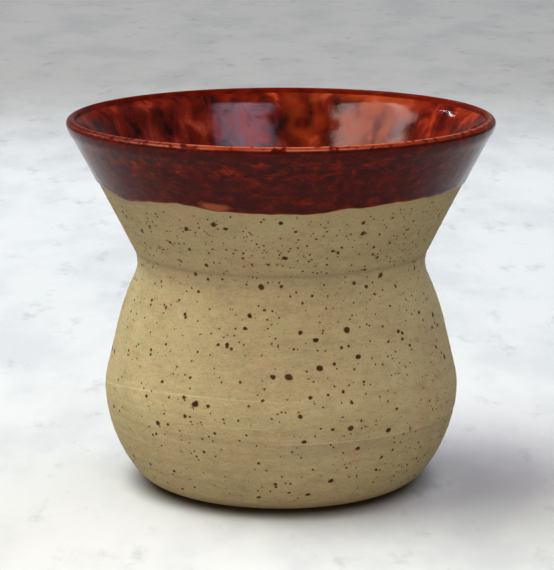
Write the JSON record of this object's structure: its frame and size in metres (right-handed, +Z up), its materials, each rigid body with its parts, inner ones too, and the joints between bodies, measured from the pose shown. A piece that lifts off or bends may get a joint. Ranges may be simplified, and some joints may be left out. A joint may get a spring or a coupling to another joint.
{
  "type": "pour over dripper",
  "caption": "Stoneware pour-over coffee dripper: flared 60-degree filter cone set in a waisted, bulb-shaped stand, bare speckled clay with a glossy red-brown glazed rim and lining.",
  "frame": {"origin": "centre of the foot, on the surface the dripper stands on", "axes": "+Z up along the axis of the thrown form, +Y away from the viewer, +X to the right"},
  "size_m": [0.1156, 0.1156, 0.1],
  "materials": {
    "speckled_stoneware": "matte bare clay with iron specks",
    "red_brown_glaze": "glossy mottled glaze"
  },
  "bodies": {
    "root": {"filter_cone": "speckled_stoneware", "belly_stand": "speckled_stoneware", "waist_coil": "speckled_stoneware", "filter_ribs": "red_brown_glaze", "glaze_lining": "red_brown_glaze", "glaze_rim_band": "red_brown_glaze"}
  },
  "joints": []
}
